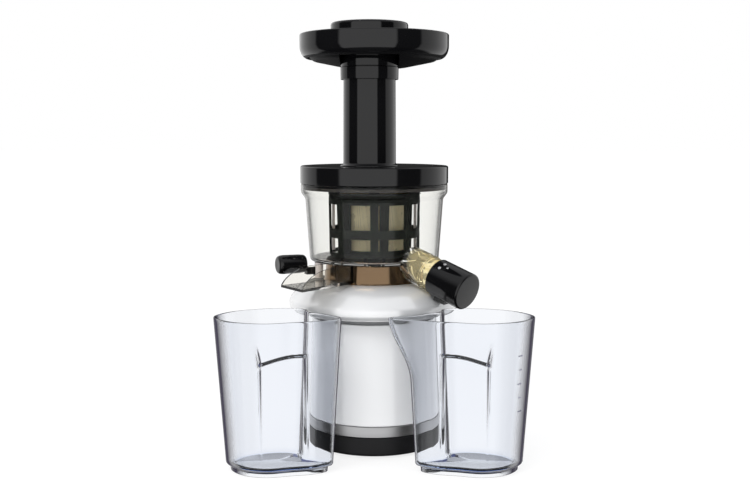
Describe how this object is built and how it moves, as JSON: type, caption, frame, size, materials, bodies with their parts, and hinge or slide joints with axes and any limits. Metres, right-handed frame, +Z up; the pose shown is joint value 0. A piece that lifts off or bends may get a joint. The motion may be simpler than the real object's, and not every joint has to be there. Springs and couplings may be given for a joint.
{
  "type": "vertical slow juicer",
  "caption": "Upright auger juicer: round motor base, clear bowl with strainer, brush and auger, spout with turning cap, pulp chute, lid, feed tube, tray, pusher and two clear cups.",
  "frame": {"origin": "centre of the whole set's footprint on the counter, level with the bottom of the feet and cups", "axes": "+Z up along the machine, -Y towards the user at the front, +X to the user's right, where the juice spout points"},
  "size_m": [0.294, 0.2195, 0.4147],
  "materials": {
    "white_gloss": "gloss",
    "black_gloss": "high gloss",
    "dark_base": "satin",
    "grey_trim": "satin",
    "brushed_band": "brushed",
    "rubber_black": "matte",
    "machined_steel": "machined",
    "winding_copper": "wound wire",
    "gear_brass": "machined",
    "gear_nylon": "moulded",
    "gearbox_alloy": "cast",
    "board_green": "satin",
    "clear_plastic": "clear gloss",
    "tinted_clear": "clear gloss, lavender tint",
    "silicone_pale": "satin",
    "silicone_grey": "satin",
    "strainer_dark": "satin",
    "strainer_steel": "perforated sheet",
    "auger_resin": "satin"
  },
  "bodies": {
    "base": {"foot_1": "rubber_black", "foot_2": "rubber_black", "foot_3": "rubber_black", "foot_4": "rubber_black", "bottom_screw_1": "machined_steel", "bottom_screw_2": "machined_steel", "bottom_screw_3": "machined_steel", "bottom_screw_4": "machined_steel", "base_ring": "dark_base", "bottom_cover": "dark_base", "steel_band": "brushed_band", "column_shell": "white_gloss", "recess_ring": "grey_trim", "drum_shell": "white_gloss", "neck": "black_gloss", "switch_bezel": "dark_base", "cord_inlet": "rubber_black", "circuit_board": "board_green", "motor_can": "machined_steel", "motor_end_plate": "machined_steel", "motor_stator": "winding_copper", "gearbox_plate": "gearbox_alloy", "idler_axle": "machined_steel", "lower_bearing": "machined_steel", "gearbox_cover": "gearbox_alloy", "upper_bearing": "machined_steel", "shaft_seal": "rubber_black"},
    "rocker": {"switch_rocker": "black_gloss"},
    "rotor": {"motor_rotor": "machined_steel", "motor_pinion": "gear_brass"},
    "idler": {"idler_gear": "gear_nylon"},
    "drive": {"output_gear": "gear_nylon", "drive_shaft": "machined_steel"},
    "bowl": {"juicing_bowl": "clear_plastic", "bowl_gasket": "silicone_pale", "pulp_chute": "clear_plastic", "lever_pin": "machined_steel", "lever_stop": "silicone_pale", "strainer_frame": "strainer_dark", "strainer_mesh": "strainer_steel"},
    "cap": {"juice_cap": "black_gloss", "cap_seal": "silicone_grey"},
    "lever": {"lever_arm": "black_gloss", "lever_grip": "black_gloss"},
    "brush": {"brush_frame": "strainer_dark", "brush_blade_1": "silicone_pale", "brush_blade_2": "silicone_pale"},
    "auger": {"auger": "auger_resin", "auger_socket": "machined_steel"},
    "lid": {"lid": "black_gloss", "lid_gasket": "silicone_grey", "feed_tube": "black_gloss"},
    "tray": {"hopper_tray": "black_gloss", "tray_collar": "black_gloss"},
    "pusher": {"pusher_cap": "black_gloss", "pusher_stem": "black_gloss"},
    "jug": {"juice_jug": "tinted_clear"},
    "container": {"pulp_container": "tinted_clear"}
  },
  "joints": [
    {"name": "switch_rock", "type": "hinge", "parent": "base", "child": "rocker", "pos_m": [0, 0.0866, 0.085], "axis": [1, 0, 0], "range_deg": [0, 8]},
    {"name": "drive_spin", "type": "hinge", "parent": "base", "child": "drive", "pos_m": [0, 0.0246, 0.15], "axis": [0, 0, 1], "continuous": true},
    {"name": "idler_spin", "type": "hinge", "parent": "base", "child": "idler", "pos_m": [0, -0.02055, 0.15], "axis": [0, 0, 1], "continuous": true},
    {"name": "motor_spin", "type": "hinge", "parent": "base", "child": "rotor", "pos_m": [0, 0.0096, 0.09], "axis": [0, 0, 1], "continuous": true},
    {"name": "auger_spin", "type": "hinge", "parent": "bowl", "child": "auger", "pos_m": [0, 0.0246, 0.22], "axis": [0, 0, 1], "continuous": true},
    {"name": "brush_spin", "type": "hinge", "parent": "bowl", "child": "brush", "pos_m": [0, 0.0246, 0.22], "axis": [0, 0, 1], "continuous": true},
    {"name": "bowl_lift", "type": "slide", "parent": "base", "child": "bowl", "axis": [0, 0, 1], "range_m": [0, 0.06]},
    {"name": "cap_turn", "type": "hinge", "parent": "bowl", "child": "cap", "pos_m": [0.0599, -0.02933, 0.174], "axis": [0.7114, -0.6406, -0.289], "range_deg": [0, 90]},
    {"name": "lever_swing", "type": "hinge", "parent": "bowl", "child": "lever", "pos_m": [-0.056, 0.0031, 0.176], "axis": [0, 0, -1], "range_deg": [0, 30]},
    {"name": "lid_lift", "type": "slide", "parent": "bowl", "child": "lid", "axis": [0, 0, 1], "range_m": [0, 0.06]},
    {"name": "tray_lift", "type": "slide", "parent": "lid", "child": "tray", "axis": [0, 0, 1], "range_m": [0, 0.04]},
    {"name": "pusher_slide", "type": "slide", "parent": "tray", "child": "pusher", "axis": [0, 0, 1], "range_m": [0, 0.13]},
    {"name": "jug_slide", "type": "slide", "parent": "base", "child": "jug", "axis": [0, -1, 0], "range_m": [0, 0.12]},
    {"name": "container_slide", "type": "slide", "parent": "base", "child": "container", "axis": [0, -1, 0], "range_m": [0, 0.12]}
  ],
  "couplings": [
    {"joint": "idler_spin", "follows": "drive_spin", "ratio": -4},
    {"joint": "motor_spin", "follows": "drive_spin", "ratio": 16},
    {"joint": "auger_spin", "follows": "drive_spin", "ratio": 1},
    {"joint": "brush_spin", "follows": "drive_spin", "ratio": -0.5}
  ]
}
